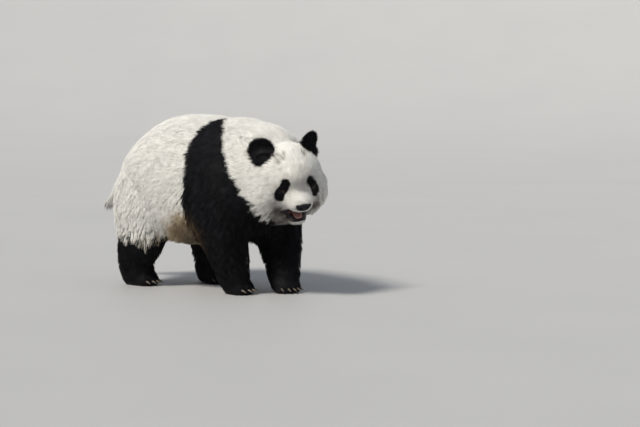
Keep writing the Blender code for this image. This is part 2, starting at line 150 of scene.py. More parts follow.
class Wire:
    """An output of a finish's nodes. Plain arithmetic on it adds the Math nodes that it needs."""

    def __init__(self, tree, socket=None):
        self.tree = tree
        self.socket = socket

    def node(self, kind, settings=None, sockets=None, output=0):
        """Adds a node: its settings first, then its sockets' values or links."""
        made = self.tree.nodes.new(kind)
        for name, value in (settings or {}).items():
            setattr(made, name, value)
        for name, value in (sockets or {}).items():
            self.connect(value, made.inputs[name])
        return Wire(self.tree, made.outputs[output])

    def connect(self, value, socket):
        if isinstance(value, Wire):
            self.tree.links.new(value.socket, socket)
        else:
            socket.default_value = value

    def math(self, operation, *values):
        return self.node("ShaderNodeMath", {"operation": operation}, dict(enumerate(values)))

    def __add__(self, other):
        return self.math("ADD", self, other)

    def __sub__(self, other):
        return self.math("SUBTRACT", self, other)

    def __mul__(self, other):
        return self.math("MULTIPLY", self, other)

    def __rsub__(self, other):
        return self.math("SUBTRACT", other, self)

    __radd__ = __add__
    __rmul__ = __mul__

    def mix(self, first, second):
        """One colour where this is 0 and the other where it is 1."""
        return self.blend("MIX", self, first, second)

    def blend(self, kind, share, first, second):
        settings = {"data_type": "RGBA", "blend_type": kind}
        return self.node("ShaderNodeMix", settings, {0: share, 6: first, 7: second}, output=2)

    def shade(self, colour):
        """The colour made darker or lighter by this value."""
        grey = self.node("ShaderNodeCombineColor", {}, {0: self, 1: self, 2: self})
        return self.blend("MULTIPLY", 1.0, colour, grey)

    def read(self, name, output="Fac"):
        """What the mesh holds under this name."""
        return self.node("ShaderNodeAttribute", {"attribute_name": name}, output=output)

    def noise(self, size, detail, **sockets):
        """Noise between 0 and 1 whose lumps are about this many metres across."""
        values = {"Vector": self.places(), "Scale": 1 / size, "Detail": detail, **sockets}
        return self.node("ShaderNodeTexNoise", {}, values)

    def places(self):
        return self.node("ShaderNodeTexCoord", output="Object")


def rgba(colour):
    return (*colour, 1)


class Finish:
    """A material with one shader, whose values are set by name and whose wires start from it."""

    def __init__(self, name, **values):
        self.material = bpy.data.materials.new(name)
        self.material.use_nodes = True
        tree = self.material.node_tree
        self.shader = next(node for node in tree.nodes if node.type == "BSDF_PRINCIPLED")
        self.wire = Wire(tree)
        self.set(**values)

    def set(self, **values):
        for name, value in values.items():
            self.wire.connect(value, self.shader.inputs[name.replace("_", " ")])

    def bump(self, height, depth, strength):
        """Raises the surface by the height, 0 to 1, times the depth in metres."""
        sockets = {"Height": height, "Distance": depth, "Strength": strength}
        self.set(Normal=self.wire.node("ShaderNodeBump", {}, sockets))

    def tint(self, light):
        """Takes the colour from the mesh's pigment, made darker or lighter by this wire."""
        self.set(Base_Color=light.shade(self.wire.read("pigment", "Color")))

    def cover(self, mesh):
        mesh.materials.clear()
        mesh.materials.append(self.material)


floor_mesh = bpy.data.meshes.new("floor")
floor_shape = bmesh.new()
bmesh.ops.create_circle(floor_shape, cap_ends=True, radius=FLOOR_RADIUS, segments=96)
rim = list(floor_shape.edges)
for ring in range(1, BACKDROP_RINGS + 1):
    share = ring / BACKDROP_RINGS
    grown = bmesh.ops.extrude_edge_only(floor_shape, edges=rim)["geom"]
    rim = [edge for edge in grown if isinstance(edge, bmesh.types.BMEdge)]
    for vert in (vert for vert in grown if isinstance(vert, bmesh.types.BMVert)):
        reach = FLOOR_RADIUS + (BACKDROP_RADIUS - FLOOR_RADIUS) * math.sin(share * math.pi / 2)
        vert.co *= reach / vert.co.xy.length
        vert.co.z = BACKDROP_HEIGHT * (1 - math.cos(share * math.pi / 2))
floor_shape.to_mesh(floor_mesh)
floor_shape.free()
floor_mesh.shade_smooth()
floor = add_object("floor", floor_mesh)

floor_paint = Finish("floor_paint", Roughness=0.6)
cloudy = floor_paint.wire.noise(0.9, 3.0)
floor_paint.set(Base_Color=cloudy.mix(*map(rgba, FLOOR_GREYS)))
floor_paint.bump(floor_paint.wire.noise(0.004, 2.0), 0.0004, 0.3)
floor_paint.cover(floor_mesh)

lamp = bpy.data.lights.new("lamp", "SUN")
lamp.energy = LAMP_STRENGTH
lamp.angle = LAMP_SPREAD
lamp.color = LAMP_COLOUR
lamp_stand = add_object("lamp", lamp)
lamp_stand.rotation_mode = "QUATERNION"
lamp_stand.rotation_quaternion = direction(LAMP_AZIMUTH, LAMP_ELEVATION).to_track_quat("Z", "Y")

room = bpy.data.worlds.new("room")
room.use_nodes = True
room_light = room.node_tree.nodes["Background"].inputs
room_light["Color"].default_value = rgba(SKY_COLOUR)
room_light["Strength"].default_value = SKY_STRENGTH
bpy.context.scene.world = room
bpy.context.scene.view_settings.view_transform = "Standard"

camera_lens = bpy.data.cameras.new("camera")
camera_lens.lens = CAMERA_LENS_MM
camera_lens.sensor_width = 36
camera = add_object("camera", camera_lens)
back = direction(CAMERA_AZIMUTH, CAMERA_ELEVATION)
level_view = (-back).to_track_quat("-Z", "Y")
aim = level_view @ Vector((AIM_RIGHT, AIM_UP, -CAMERA_DISTANCE))
camera.location = Vector(shoulders) + back * CAMERA_DISTANCE
camera.rotation_mode = "QUATERNION"
camera.rotation_quaternion = aim.to_track_quat("-Z", "Y")
bpy.context.scene.camera = camera


# MARKINGS. White, with black ears, eye patches, forelegs joined by a band over the withers, and hind
# legs. The belly is stained by damp earth and the fur round the mouth by food. There and by the ears
# the fur is also darkened with painted shade.

EARS = ("ear_left", "ear_right")
FORELEGS = ("foreleg_left", "foreleg_right")
HINDLEGS = ("hindleg_left", "hindleg_right")
PAWS = ("forepaw_left", "forepaw_right", "hindpaw_left", "hindpaw_right")
# How far ahead the black's edges are at each height: the band's rear and front, and the edge under the
# cheek, which is lower on the left.
BAND_HEIGHTS = [0.20, 0.27, 0.32, 0.39, 0.45, 0.50, 0.56, 0.61, 0.73]
BAND_REAR = [-0.165, -0.135, -0.140, -0.147, -0.133, -0.128, -0.130, -0.136, -0.142]
FRONT_HEIGHTS = [0.28, 0.34, 0.40, 0.44, 0.49, 0.54, 0.59, 0.635, 0.69, 0.722, 0.742]
BAND_FRONT = [0.50, 0.27, 0.214, 0.172, 0.135, 0.105, 0.076, 0.053, 0.020, -0.012, -0.065]
CHEEK_HEIGHTS = [-0.180, -0.145, -0.110, -0.089, -0.068, -0.055, -0.045]
CHEEK_REAR = [0.064, 0.068, 0.060, 0.055, 0.040, 0.0, -0.10]
CHEEK_TOP = -0.04
CHEEK_DROP = 0.10
EDGE_WAVE = 0.006
SOCK_TOP = 0.233
SOCK_WAVE = 0.014
FORELEG_TOP = 0.30
PATCH_WAVE = 0.0030
PATCH_TOP = {"left": (0.115, 0.047, 0.056), "right": (0.111, 0.060, 0.056)}
PATCH_TOP_RADIUS = 0.0226
PATCH_FOOT = (0.100, 0.081, 0.000)
PATCH_FOOT_RADIUS = 0.0275
PATCH_WAIST = 0.0025
EAR_PLACE = (-0.048, 0.108, 0.134)
EAR_OUTWARD = math.radians(28)
EAR_SPLAY = math.radians(20)
EAR_RADIUS = 0.061
EAR_BACK = 0.009
BELLY_STAIN = (-0.115, 0.180)
ELBOW_STAIN = (-0.110, 0.245)
# Spots on the jowls and under the jaw, darkened by food stain and by painted shade.
JOWL_SPOTS = [(0.094, 0.085, -0.078), (0.098, 0.066, -0.098), (0.086, 0.080, -0.110)]
JOWL_SPOTS += [(0.075, 0.072, -0.138), (0.060, 0.058, -0.160), (0.046, 0.050, -0.174)]
THROAT_SPOTS = [(0.044, 0.020, -0.176), (0.055, 0.010, -0.168), (0.088, 0.025, -0.142)]
THROAT_SPOTS += [(0.100, 0.046, -0.125), (0.070, 0.048, -0.150)]
# How deeply the head's fur is darkened, how far round each spot, and the spots. On the cheek and the lips
# and under the jaw this is food and damp stain with painted shade. In front of the ear and at its foot it
# is painted shade.
FOOD_STAINS_AND_PAINTED_SHADE = [
    (0.50, 0.042, [(0.093, 0.100, -0.045)]),
    (0.90, 0.024, [(0.098, 0.074, -0.066), (0.112, 0.062, -0.075)]),
    (0.97, 0.048, JOWL_SPOTS + THROAT_SPOTS),
    (0.85, 0.024, [(0.004, 0.076, 0.138), (0.018, 0.062, 0.141), (0.031, 0.050, 0.140)]),
    (0.46, 0.030, [(-0.002, 0.134, 0.078)]),
]


def step(low, high, values):
    """0 before low, 1 past high and smooth in between; the two may come in either order."""
    share = np.clip((values - low) / (high - low), 0, 1)
    return share * share * (3 - 2 * share)


def ripple(points, size, seed):
    """A smooth random value from about -1 to 1 at each point, with lumps of this size."""
    draw = np.random.default_rng(seed)
    waves = draw.normal(size=(3, 9)) * 2.0 / size
    return 0.75 * np.sin(points @ waves + draw.uniform(0, 2 * math.pi, 9)).sum(axis=1) / 3


def in_ear(points, side):
    """Left, ahead and up from the middle of the ear's disc, which faces ahead."""
    outward, splay = Matrix.Rotation(side * EAR_OUTWARD, 3, "Z"), Matrix.Rotation(side * EAR_SPLAY, 3, "Y")
    away = (points - on_side(EAR_PLACE, side)) @ (head_axes @ np.array(outward @ splay))
    return away[:, 0], -away[:, 1], away[:, 2]


def from_capsule(points, first, second):
    """Distance from the line between two points, and how far along it, from 0 to 1."""
    along = second - first
    share = np.clip((points - first) @ along / (along @ along), 0, 1)
    return np.linalg.norm(points - first - share[:, None] * along, axis=1), share


def blackness(points, parts):
    """Above 0 where the coat is black, as the distance in metres past the edge of the black."""
    forward, _, up = in_body(points)
    rear = forward - np.interp(up, BAND_HEIGHTS, BAND_REAR)
    front = np.interp(up, FRONT_HEIGHTS, BAND_FRONT) - forward
    band = np.minimum(rear, front) + EDGE_WAVE * ripple(points, 0.05, 3)
    band[part_in(parts, "head", "lower_jaw", *EARS)] = -1
    head_forward, head_left, head_up = in_head(points)
    head_up += CHEEK_DROP * step(-0.02, 0.05, head_left)
    under_cheek = np.interp(head_up, CHEEK_HEIGHTS, CHEEK_REAR) - head_forward
    under_cheek += EDGE_WAVE * ripple(points, 0.03, 8)
    band = np.where(part_in(parts, "head") & (head_up < CHEEK_TOP), under_cheek, band)
    sock = SOCK_TOP - up + SOCK_WAVE * ripple(points * (1, 1, 0.3), 0.022, 4)
    sock[~part_in(parts, *HINDLEGS)] = -1
    black = np.maximum(band, sock)
    black[part_in(parts, *PAWS) | part_in(parts, *FORELEGS) & (up < FORELEG_TOP)] = 1
    for name, side in SIDES.items():
        off, share = from_capsule(points, on_side(PATCH_TOP[name], side), on_side(PATCH_FOOT, side))
        radius = PATCH_TOP_RADIUS + (PATCH_FOOT_RADIUS - PATCH_TOP_RADIUS) * share
        radius -= PATCH_WAIST * np.sin(share * math.pi)
        black = np.maximum(black, radius - off + PATCH_WAVE * ripple(points, 0.022, 5))
        across, ahead, above = in_ear(points, side)
        across = across * np.where(across * side < 0, 1.2, 1.0)
        ahead = (ahead + EAR_BACK) * np.where(ahead > -EAR_BACK, 0.86, 1.6)
        off = np.sqrt(across**2 + ahead**2 + (above + 0.004) ** 2)
        black = np.maximum(black, EAR_RADIUS - off + 0.002 * ripple(points, 0.02, 6))
    return black


def part_in(parts, *names):
    return np.isin(parts, [PART_NUMBER[name] for name in names])


def nearness(points, place, reach):
    """1 round a place, falling to 0 at the reach."""
    return step(reach, 0.2 * reach, distance(points, place))


def near_spots(points, spots, reach):
    """The nearness of the nearest of these spots on the head and their mirror images."""
    most = np.zeros(len(points))
    for spot in spots:
        for side in SIDES.values():
            most = np.maximum(most, nearness(points, on_side(spot, side), reach))
    return most


def earth_stain(points):
    """How much earth has coloured the white fur of the belly and flanks, from 0 to 1."""
    forward, _, up = in_body(points)
    off = np.hypot(forward - BELLY_STAIN[0], up - BELLY_STAIN[1])
    dirt = step(0.255, 0.075, off) * step(0.400, 0.265, up)
    dirt = np.maximum(dirt, 0.62 * step(0.275, 0.205, up) * step(-0.50, -0.30, forward))
    dirt = np.maximum(dirt, 0.35 * step(0.27, 0.20, up))
    return np.clip(dirt * (1 + 0.30 * ripple(points, 0.05, 7)), 0, 1)


def elbow_stain(points):
    """How much earth shows in the black fur behind the elbows, from 0 to 1."""
    forward, left, up = in_body(points)
    off = np.hypot(forward - ELBOW_STAIN[0], up - ELBOW_STAIN[1]) + 0.012 * ripple(points, 0.04, 9)
    return step(0.125, 0.020, off) * step(0.12, 0.17, np.abs(left))


def food_stain_and_painted_shade(points):
    """Grey brown, 0 to 1: food stain with painted shade round the mouth, painted shade at the ears' roots.
    """
    stains = [share * near_spots(points, spots, reach) for share, reach, spots in FOOD_STAINS_AND_PAINTED_SHADE]
    return np.maximum.reduce(stains)


# SKIN. One hide over the whole body, from nose to soles, with an underfur too flat to stand out as tufts.
# It lies under the coat's tips by the depth of the coat, and is bare in the mouth, lids and pads.

SKIN_CELL = 0.0060
SKIN_ROUNDS = 9
CLOSING = 0.0005
TOE_SIZE = (0.0165, 0.031, 0.029)
TOE_BEHIND_CLAW = 0.018
TOE_LIFT = 0.002
CLAW_ROOT = 0.008
EYE_RADIUS = 0.0115
LID_LONG = 0.0095
LID_HIGH = 0.0062
LID_THICK = 0.0014
LID_TILT = math.radians(14)
LID_REACH = 0.034
FAR_OFF = 9
MOUTH_CORNER = (0.070, -0.084)
MOUTH_HALF_WIDTH = 0.0655
MOUTH_MARGIN = 0.0025
MUZZLE_FRONT = (0.135, 0, -0.035)
LIP_SLOPES = (0.24, -0.19)
LIP_DROP = 0.008
EAR_HALF_WIDE = 0.055
EAR_HALF_HIGH = 0.050
EAR_ROOT_FLARE = 0.010
EAR_SECTORS = 37
SECTOR_HALF = 0.15
EAR_REACH = 0.080
# Where the head is pressed in before and under each ear, how far round about, and how deep.
TEMPLE_HOLLOWS = [
    ((-0.004, 0.129, 0.100), 0.046, 0.017),
    ((0.014, 0.072, 0.139), 0.034, 0.008),
    ((-0.032, 0.142, 0.100), 0.034, 0.006),
]
TEMPLE_IN = 0.75
TEMPLE_DOWN = 0.65
TEMPLE_ROUNDS = 12
TAIL_TUCK = 0.026
NOSE_IN_HEAD = (0.158, -0.029)
NOSE_PAD_SIZE = (0.031, 0.018)
NOSE_PLUG_DEPTH = 0.010

FLESH = sorted(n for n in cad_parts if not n.startswith(("claw", "tongue", "eye", "nose")))
PART_NUMBER = {name: number for number, name in enumerate(FLESH)}
# Depth of the coat, length and breadth of its tufts, and how many stand on a square centimetre.
COAT = {
    "trunk": (0.020, 0.046, 0.0021, 11.2),
    "neck": (0.020, 0.044, 0.0021, 11.6),
    "tail": (0.012, 0.036, 0.0021, 11.0),
    "head": (0.014, 0.034, 0.0018, 14.5),
    "lower_jaw": (0.005, 0.013, 0.0013, 34.0),
    "ear": (0.0060, 0.012, 0.0014, 28.0),
    "foreleg": (0.014, 0.036, 0.0022, 9.4),
    "hindleg": (0.014, 0.038, 0.0021, 10.2),
    "forepaw": (0.0045, 0.013, 0.0018, 11.0),
    "hindpaw": (0.0045, 0.013, 0.0018, 11.0),
}
# By how much the head's four change towards the muzzle, and over how many rounds all are evened out.
MUZZLE_CHANGE = (-0.0112, -0.0265, -0.0008, 42)
COAT_ROUNDS = 26
EYE_RIM = 0.030
EYE_RIM_DEPTH = 0.002


def coat_of(part):
    return COAT.get(part) or COAT[part.split("_")[0]]


def applied(made):
    """The object's mesh with its modifiers worked into it."""
    graph = bpy.context.evaluated_depsgraph_get()
    mesh = bpy.data.meshes.new_from_object(made.evaluated_get(graph))
    made.modifiers.clear()
    made.data = mesh
    return mesh


def made_whole(piece, cell, rounds):
    """The piece's mesh woven anew as one closed surface of cells this wide, then evened out."""
    remesh = piece.modifiers.new("Whole", "REMESH")
    remesh.mode = "VOXEL"
    remesh.voxel_size = cell
    smooth = piece.modifiers.new("Smooth", "SMOOTH")
    smooth.factor = 0.5
    smooth.iterations = rounds
    return applied(piece)


def add_toes(shape):
    """A ball for each toe, from its claw, which rounds the toes and fills the claws' seats."""
    for name in sorted(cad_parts):
        if not name.startswith("claw"):
            continue
        _, kind, side, _ = name.split("_")
        paw_low, paw_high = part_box(f"{kind}paw_{side}")
        points = corners(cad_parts[name].data)
        tip = points[np.argmax(np.linalg.norm((points - (paw_low + paw_high) / 2)[:, :2], axis=1))]
        reach = distance(points, tip)
        root = points[reach > reach.max() - CLAW_ROOT].mean(axis=0)
        ahead = (tip - root) * (1, 1, 0)
        ahead /= np.linalg.norm(ahead)
        middle = root - ahead * TOE_BEHIND_CLAW + (0, 0, TOE_LIFT)
        turn = Vector((0, -1, 0)).rotation_difference(Vector(ahead)).to_matrix().to_4x4()
        place = Matrix.Translation(middle) @ turn @ Matrix.Diagonal((*TOE_SIZE, 1))
        bmesh.ops.create_icosphere(shape, subdivisions=2, radius=1, matrix=place)


flesh = bmesh.new()
for name in sorted(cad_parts):
    if not name.startswith(("claw", "tongue")):
        flesh.from_mesh(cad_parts[name].data)
bmesh.ops.remove_doubles(flesh, verts=flesh.verts, dist=1e-6)
flesh.normal_update()
for vert in flesh.verts:
    vert.co += vert.normal * CLOSING
add_toes(flesh)
for vert in flesh.verts:
    vert.co.z = max(vert.co.z, 0)
skin_mesh = bpy.data.meshes.new("skin")
flesh.to_mesh(skin_mesh)
flesh.free()
skin = add_object("skin", skin_mesh)
skin_mesh = made_whole(skin, SKIN_CELL, SKIN_ROUNDS)

# The face has finer creases than the body, so its part of the hide is woven finer.
face = bmesh.new()
face.from_mesh(skin_mesh)
fine_places = [(on_head(0.135, 0, -0.06), 0.072, 1)]
fine_places += [(eye_middle[side], 0.036, 2) for side in SIDES]
for place, reach, times in fine_places:
    for _ in range(times):
        near = {v for v in face.verts if (v.co - Vector(place)).length < reach}
        edges = [e for e in face.edges if e.verts[0] in near and e.verts[1] in near]
        bmesh.ops.subdivide_edges(face, edges=edges, cuts=1, use_grid_fill=True)
        fresh = [v for v in face.verts if (v.co - Vector(place)).length < reach]
        axes = {"use_axis_" + axis: True for axis in "xyz"}
        bmesh.ops.smooth_vert(face, verts=fresh, factor=0.4, **axes)
face.to_mesh(skin_mesh)
face.free()

flesh_faces, flesh_points, flesh_parts = [], [], []
for part in FLESH:
    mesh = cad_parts[part].data
    start = len(flesh_points)
    flesh_points += [v.co for v in mesh.vertices]
    flesh_faces += [[start + k for k in p.vertices] for p in mesh.polygons]
    flesh_parts += [PART_NUMBER[part]] * len(mesh.polygons)
flesh_tree = BVHTree.FromPolygons(flesh_points, flesh_faces)


def parts_at(points):
    """The number of the body part nearest to each point."""
    return np.array([flesh_parts[flesh_tree.find_nearest(Vector(p))[2]] for p in points])


skin_points = corners(skin_mesh)
skin_parts = parts_at(skin_points)
skin_edges = listed(skin_mesh.edges, "vertices", 2, int)


def spread(values, times):
    """Each vertex's value evened out with those of its neighbours, that many times over."""
    first, second = skin_edges.T
    both, other = np.concatenate([first, second]), np.concatenate([second, first])
    count = np.bincount(both, minlength=len(skin_points))
    columns = values.reshape(len(values), -1).copy()
    for _ in range(times):
        for k in range(columns.shape[1]):
            total = np.bincount(both, columns[other, k], len(skin_points))
            columns[:, k] = 0.5 * columns[:, k] + 0.5 * total / np.maximum(count, 1)
    return columns.reshape(values.shape)


def unit(vectors):
    return vectors / np.maximum(np.linalg.norm(vectors, axis=1, keepdims=True), 1e-9)


def normals_of(mesh):
    return listed(mesh.vertex_normals, "vector", 3)


def in_mouth(points):
    """How far inside the open mouth each point is, below 0 outside it."""
    forward, left, up = in_head(points)
    corner_forward, corner_up = MOUTH_CORNER
    reach = forward - corner_forward
    under_roof = corner_up + LIP_SLOPES[0] * reach - up
    over_floor = up - (corner_up + LIP_SLOPES[1] * reach)
    in_cheeks = MOUTH_HALF_WIDTH - np.abs(left)
    return np.minimum.reduce([under_roof, over_floor, reach, in_cheeks]) + MOUTH_MARGIN


def from_muzzle(points):
    """Distance from the middle of the muzzle's front."""
    return distance(points, on_head(*MUZZLE_FRONT))


coat_values = np.array([coat_of(part) for part in FLESH])[skin_parts]
face_share = step(0.150, 0.050, from_muzzle(skin_points))
head_part = part_in(skin_parts, "head")
for k, power in enumerate((1, 1, 1, 2)):
    coat_values[head_part, k] += MUZZLE_CHANGE[k] * face_share[head_part] ** power
coat_values = spread(coat_values, COAT_ROUNDS)
mouth_share = step(-0.003, 0.002, in_mouth(skin_points))
near_eye = np.minimum.reduce([distance(skin_points, eye_middle[side]) for side in SIDES])
coat_depth = coat_values[:, 0] * (1 - mouth_share) * step(0.001, 0.022, skin_points[:, 2])
coat_depth = np.where(near_eye < EYE_RIM, np.minimum(coat_depth, EYE_RIM_DEPTH), coat_depth)
coat_depth = spread(coat_depth, 4)
outwards = unit(spread(normals_of(skin_mesh), 2))
cad_skin_points = skin_points.copy()
skin_points = skin_points - outwards * coat_depth[:, None]


def slacken_lip(points):
    """Lowers the lower lip's front, so that the mouth hangs a little open."""
    forward, left, up = in_head(points)
    share = step(0.070, 0.112, forward) * step(0.058, 0.030, np.abs(left)) * step(-0.132, -0.102, up)
    share *= step(-0.078, -0.090, up)
    return points - (head_axes @ at(0, 0, LIP_DROP)) * share[:, None]


def sink_under_nose(points):
    """Draws the hide back from under the nose's pad, which is set in it like a plug."""
    forward, left, up = in_head(points)
    wide, high = (left / NOSE_PAD_SIZE[0]) ** 2, ((up - NOSE_IN_HEAD[1]) / NOSE_PAD_SIZE[1]) ** 2
    share = step(1.0, 0.55, wide + high) * step(NOSE_IN_HEAD[0] - 0.012, NOSE_IN_HEAD[0], forward)
    return points - (head_axes @ at(NOSE_PLUG_DEPTH, 0, 0)) * share[:, None]


def round_ears(points):
    """Draws the ears' rims to round discs and sets them a little back."""
    moved = points.copy()
    for name, side in SIDES.items():
        mine = part_in(skin_parts, "ear_" + name)
        across, _, above = in_ear(points, side)
        off, turn = np.hypot(across, above), np.arctan2(across, above)
        sectors = np.linspace(-math.pi, math.pi, EAR_SECTORS)
        edges = [off[mine & (np.abs(turn - sector) < SECTOR_HALF)].max() for sector in sectors]
        edge = np.interp(turn, sectors, edges)
        # A turn of 0 is the disc's top and pi its root, where it is wider and blends into the head.
        wanted = 1 / np.hypot(np.sin(turn) / EAR_HALF_WIDE, np.cos(turn) / EAR_HALF_HIGH)
        wanted += EAR_ROOT_FLARE * step(1.5, 2.6, np.abs(turn))
        wanted += np.maximum(edge - wanted, 0) * step(0.9, 1.6, np.abs(turn))
        share = step(0.50, 0.90, off / edge) * step(2.8, 2.2, np.abs(turn)) * mine
        middle = on_side(EAR_PLACE, side)
        moved += unit(points - middle) * ((wanted - edge) * share)[:, None]
        back = step(-0.050, 0.0, above) * mine * (distance(points, middle) < EAR_REACH)
        moved -= (head_axes @ at(EAR_BACK, 0, 0)) * back[:, None]
    return moved


def hollow_temples(points):
    """Presses the head in under and before each ear, where its fur parts."""
    moved = points.copy()
    for place, reach, depth in TEMPLE_HOLLOWS:
        for side in SIDES.values():
            near = nearness(points, on_side(place, side), reach)
            share = spread(near * part_in(skin_parts, "head"), TEMPLE_ROUNDS)
            moved += (head_axes @ at(0, -TEMPLE_IN * side, -TEMPLE_DOWN)) * (depth * share)[:, None]
    return moved


def tuck_tail(points):
    """Presses the tail's upper part to the rump, so that it hangs as a short flap."""
    forward, left, up = in_body(points)
    share = step(-0.690, -0.750, forward) * step(0.340, 0.400, up) * (np.abs(left) < 0.13)
    return points + at(TAIL_TUCK, 0, -0.25 * TAIL_TUCK) * share[:, None]


skin_points = hollow_temples(tuck_tail(round_ears(sink_under_nose(slacken_lip(skin_points)))))


def look_of(side):
    """The directions in which an eye looks, along its lids to the outer corner, and up across them."""
    sign = SIDES[side]
    look = head_axes @ at(0.06, sign * 0.02, 0) / math.hypot(0.06, 0.02)
    across = head_axes @ at(0, sign, 0)
    across -= look * (across @ look)
    across /= np.linalg.norm(across)
    turn = np.array(Matrix.Rotation(sign * LID_TILT, 3, Vector(look)))
    across = turn @ across
    upward = np.cross(look, across) * sign
    return look, across, upward


def lid_opening(points, side):
    """How far each point lies from the middle of an eye's opening; 1 is the lids' edge."""
    look, across, upward = look_of(side)
    away = points - eye_middle[side]
    opening = np.sqrt((away @ across / LID_LONG) ** 2 + (away @ upward / LID_HIGH) ** 2)
    opening[(away @ look < 0) | (np.linalg.norm(away, axis=1) > LID_REACH)] = FAR_OFF
    return opening


def shape_lids(points, side):
    """Draws the hide over the eyeball as two lids with a narrow opening between them."""
    opening = lid_opening(points, side)
    away = points - eye_middle[side]
    reach = np.linalg.norm(away, axis=1)
    lid = EYE_RADIUS * 0.90 + (EYE_RADIUS * 0.10 + LID_THICK) * step(0.90, 1.12, opening)
    lid -= 0.0008 * np.exp(-((opening - 1.75) / 0.2) ** 2)
    share = step(2.9, 1.7, opening)
    wanted = reach + (lid - reach) * share
    return eye_middle[side] + away / reach[:, None] * wanted[:, None]


for side in SIDES:
    skin_points = shape_lids(skin_points, side)
skin_mesh.vertices.foreach_set("co", skin_points.ravel())
skin_mesh.shade_smooth()
skin_mesh.update()


WHITE_HAIR = (0.87, 0.85, 0.80)
OCHRE_HAIR = (0.46, 0.34, 0.19)
BROWN_HAIR = (0.10, 0.066, 0.034)
# The grey brown of food stains, made darker to serve as painted shade.
GREY_STAIN_AND_SHADE = (0.072, 0.058, 0.045)
BLACK_HAIR = (0.0105, 0.0105, 0.0125)
LIP_SKIN = (0.014, 0.011, 0.012)
GUM_SKIN = (0.11, 0.045, 0.042)
PAD_SKIN = (0.045, 0.036, 0.034)
DRY_ROUGHNESS = 0.62
WET_ROUGHNESS = 0.48


def towards(colours, colour, share):
    """The colours drawn to this one, wholly where the share is 1."""
    colours = np.asarray(colours)
    return colours + (np.asarray(colour) - colours) * share[:, None]


def hair_colours(points, black):
    """Colour at each point: white, stained ochre to brown and greyed by food stain and painted shade, or
    black.
    """
    earth = earth_stain(points)
    white = towards(WHITE_HAIR, OCHRE_HAIR, step(0.0, 0.6, earth))
    white = towards(white, BROWN_HAIR, step(0.45, 0.90, earth))
    # Food stain and painted shade round the mouth, and painted shade alone before and under the ears.
    white = towards(white, GREY_STAIN_AND_SHADE, food_stain_and_painted_shade(points))
    soiled = towards(BLACK_HAIR, BROWN_HAIR, 0.75 * elbow_stain(points))
    return np.where(black[:, None], soiled, white)


def add_pigment(mesh, colours):
    layer = mesh.color_attributes.new("pigment", "FLOAT_COLOR", "POINT")
    layer.data.foreach_set("color", np.column_stack([colours, np.ones(len(colours))]).ravel())


def add_share(mesh, name, values):
    layer = mesh.attributes.new(name, "FLOAT", "POINT")
    layer.data.foreach_set("value", np.asarray(values, np.float32))


skin_colours = hair_colours(skin_points, blackness(skin_points, skin_parts) > 0)
in_cad_mouth = in_mouth(cad_skin_points)
head_forward, head_left, head_up = in_head(cad_skin_points)
mouth_floor = part_in(skin_parts, "lower_jaw") * step(-0.15, 0.20, (outwards @ head_axes)[:, 2])
mouth_floor *= step(0.056, 0.050, np.abs(head_left)) * step(0.076, 0.086, head_forward)
mouth_deep = np.maximum(step(-0.0065, -0.0030, in_cad_mouth), mouth_floor)
gums = step(0.004, 0.009, in_cad_mouth) * step(0.044, 0.026, np.abs(head_left))
gums *= step(0.137, 0.124, head_forward)
skin_colours = towards(skin_colours, towards(LIP_SKIN, GUM_SKIN, gums), mouth_deep)
opening = np.minimum(*(lid_opening(skin_points, side) for side in SIDES))
lids = step(1.5, 1.2, opening)
skin_colours = towards(skin_colours, LIP_SKIN, lids)
above_nose = head_up - NOSE_IN_HEAD[1]
rim_reach = (head_left / NOSE_PAD_SIZE[0]) ** 2 + (above_nose / NOSE_PAD_SIZE[1]) ** 2
nose_rim = step(1.9, 1.6, rim_reach * np.where(above_nose > 0, 1.6, 1.0))
nose_rim *= step(NOSE_IN_HEAD[0] - 0.024, NOSE_IN_HEAD[0] - 0.012, head_forward)
skin_colours = towards(skin_colours, LIP_SKIN, nose_rim)
soles = step(0.006, 0.002, skin_points[:, 2])
add_pigment(skin_mesh, towards(skin_colours, PAD_SKIN, soles))
add_share(skin_mesh, "wet", mouth_deep)
skin_bare = np.maximum.reduce([mouth_deep, lids, soles])

hide = Finish("hide", Specular_IOR_Level=0.20)
wire = hide.wire
hide.tint(0.78 + 0.28 * wire.noise(0.0016, 3.0) + 0.12 * wire.noise(0.03, 3.0))
hide.set(Roughness=wire.read("wet").mix(rgba((DRY_ROUGHNESS,) * 3), rgba((WET_ROUGHNESS,) * 3)))
hide.bump(wire.noise(0.0022, 4.0) + 0.4 * wire.noise(0.0007, 2.0), 0.0009, 0.6)
hide.cover(skin_mesh)
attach(skin, "root")
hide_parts(*FLESH)


# EYES. Small for the skull and dark brown, with an upright pupil. A museum's are of glass, painted on
# the back and set under the lids; each is a ball with a clear bulge over its iris.

CORNEA_BULGE = 0.0010
CORNEA_EDGE = math.radians(36)
IRIS_EDGE = math.radians(33)
RIM_WIDE = 0.06
PUPIL_WIDE = 0.0018
PUPIL_HIGH = 0.0032
IRIS_BROWN = (0.045, 0.018, 0.008)
IRIS_RIM = (0.003, 0.002, 0.0015)
PUPIL_BLACK = (0.0006, 0.0006, 0.0006)
BALL_BROWN = (0.020, 0.012, 0.010)

eye_glass = Finish("eye_glass", Roughness=0.25, Specular_IOR_Level=0.1)
eye_glass.set(Coat_Weight=0.35, Coat_Roughness=0.02)
wire = eye_glass.wire
eye_glass.tint(0.75 + 0.5 * wire.noise(0.0008, 4.0))
eye_glass.bump(wire.noise(0.0006, 2.0), 0.00004, 0.4)

